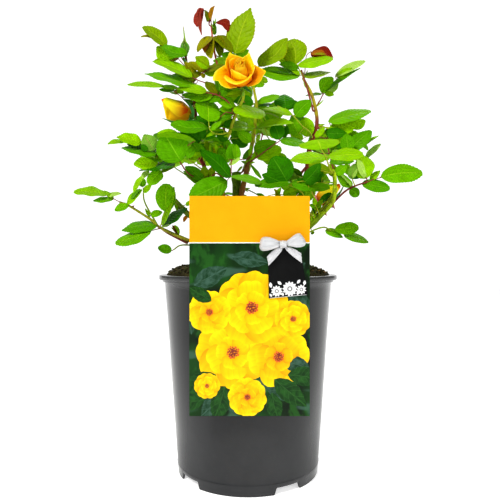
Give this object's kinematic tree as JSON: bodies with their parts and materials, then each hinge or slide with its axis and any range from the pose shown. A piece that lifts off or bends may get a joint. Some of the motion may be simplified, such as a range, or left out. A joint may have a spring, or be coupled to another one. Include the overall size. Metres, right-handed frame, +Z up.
{
  "type": "potted rose bush",
  "caption": "Rose bush with yellow blooms, compound leaves and thorny canes, growing in a tapered nursery pot that carries a hanging picture card with a gift tag and bow.",
  "frame": {"origin": "on the ground under the centre of the pot", "axes": "+Z up the plant, -Y towards the front that carries the picture card, +X to the plant's right as seen from the front"},
  "size_m": [0.364, 0.28, 0.498],
  "materials": {
    "pot_plastic": "satin",
    "compost": "matte",
    "old_wood": "matte",
    "green_cane": "satin",
    "red_cane": "satin",
    "leaf_mid": "satin",
    "leaf_dark": "satin",
    "leaf_light": "satin",
    "leaf_young": "satin",
    "leaf_bronze": "satin",
    "petal_yellow": "matte",
    "sepal_green": "satin",
    "card_print": "gloss",
    "tag_black": "satin",
    "satin_white": "satin"
  },
  "bodies": {
    "root": {"bow": "satin_white", "bud_green": "sepal_green", "bud_union": "old_wood", "cane_back_left": "green_cane", "cane_back_middle": "green_cane", "cane_back_right": "red_cane", "cane_centre": "old_wood", "cane_left_low": "green_cane", "cane_left_stub": "old_wood", "cane_left_tall": "red_cane", "cane_old_wood": "old_wood", "cane_right_inner": "green_cane", "cane_right_tall": "red_cane", "cane_right_thick": "green_cane", "cane_rose": "green_cane", "compost": "compost", "foliage_back_left": "leaf_mid", "foliage_back_low": "leaf_dark", "foliage_back_middle": "leaf_mid", "foliage_back_right": "leaf_dark", "foliage_back_top": "leaf_mid", "foliage_behind_rose": "leaf_dark", "foliage_bronze": "leaf_bronze", "foliage_centre_left": "leaf_mid", "foliage_centre_low": "leaf_dark", "foliage_centre_middle": "leaf_mid", "foliage_centre_top": "leaf_light", "foliage_far_left": "leaf_light", "foliage_far_right": "leaf_mid", "foliage_left_mid": "leaf_mid", "foliage_left_twig": "leaf_mid", "foliage_left_upright": "leaf_mid", "foliage_low_left": "leaf_mid", "foliage_low_right": "leaf_mid", "foliage_lowest_left": "leaf_dark", "foliage_middle_left": "leaf_dark", "foliage_middle_low": "leaf_mid", "foliage_middle_right": "leaf_light", "foliage_right_front": "leaf_light", "foliage_right_low": "leaf_dark", "foliage_right_side": "leaf_light", "foliage_right_spray": "leaf_light", "foliage_right_upper": "leaf_mid", "foliage_shoot_tip": "leaf_young", "foliage_top_leaf": "leaf_mid", "foliage_upper_left": "leaf_light", "foliage_upper_left_tip": "leaf_dark", "foliage_upper_right": "leaf_mid", "gift_tag": "tag_black", "picture_card": "card_print", "pot": "pot_plastic", "rose_bud_left": "petal_yellow", "rose_bud_right": "petal_yellow", "rose_open": "petal_yellow", "shoot_far_right": "red_cane", "shoot_red": "red_cane", "twig_left": "green_cane", "twig_low_right": "green_cane", "twig_lowest_left": "green_cane"}
  },
  "joints": []
}
